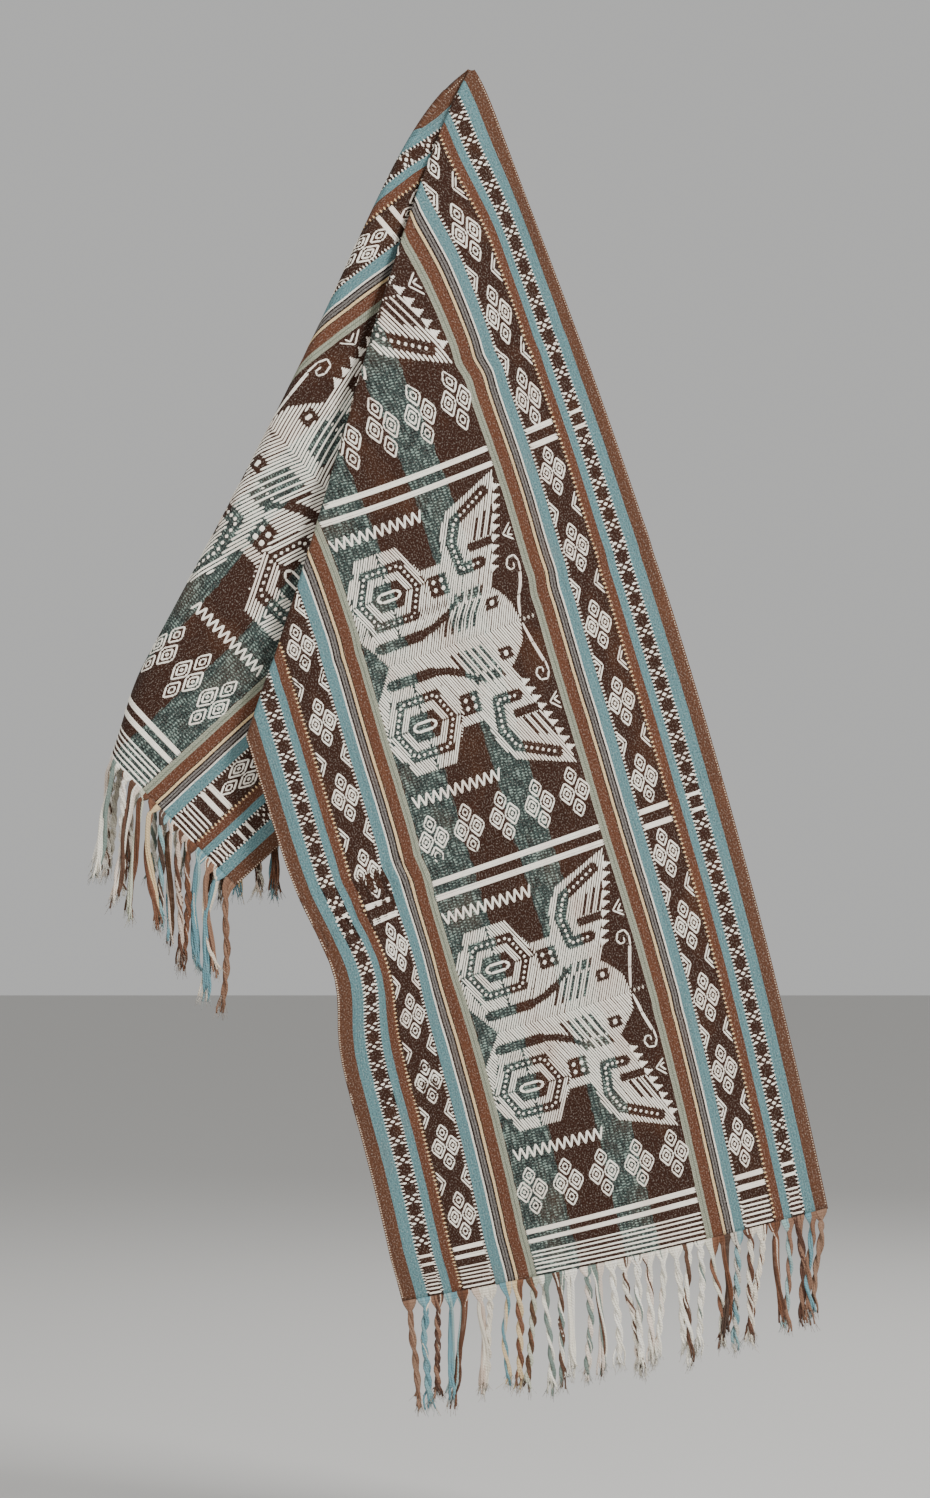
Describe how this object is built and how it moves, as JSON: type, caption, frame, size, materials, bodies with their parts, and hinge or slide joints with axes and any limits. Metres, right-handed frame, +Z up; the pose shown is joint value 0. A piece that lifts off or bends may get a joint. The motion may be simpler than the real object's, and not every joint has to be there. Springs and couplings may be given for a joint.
{
  "type": "ikat textile, a long fringed shoulder cloth hung from one point of its edge",
  "caption": "Long woven ikat cloth hung from one point of its long edge, with a flat front panel, a shorter folded side panel and fringed ends.",
  "frame": {"origin": "the point on the cloth's long edge where it hangs, at its top", "axes": "+Z up, the cloth's face looks along -Y, and the long front panel hangs towards +X"},
  "size_m": [0.7476, 0.0601, 1.3863],
  "materials": {
    "ikat_weave": "matt",
    "fringe_yarn": "matt"
  },
  "bodies": {
    "root": {"cloth": "ikat_weave", "fringe_long_end": "fringe_yarn", "fringe_short_end": "fringe_yarn"}
  },
  "joints": []
}
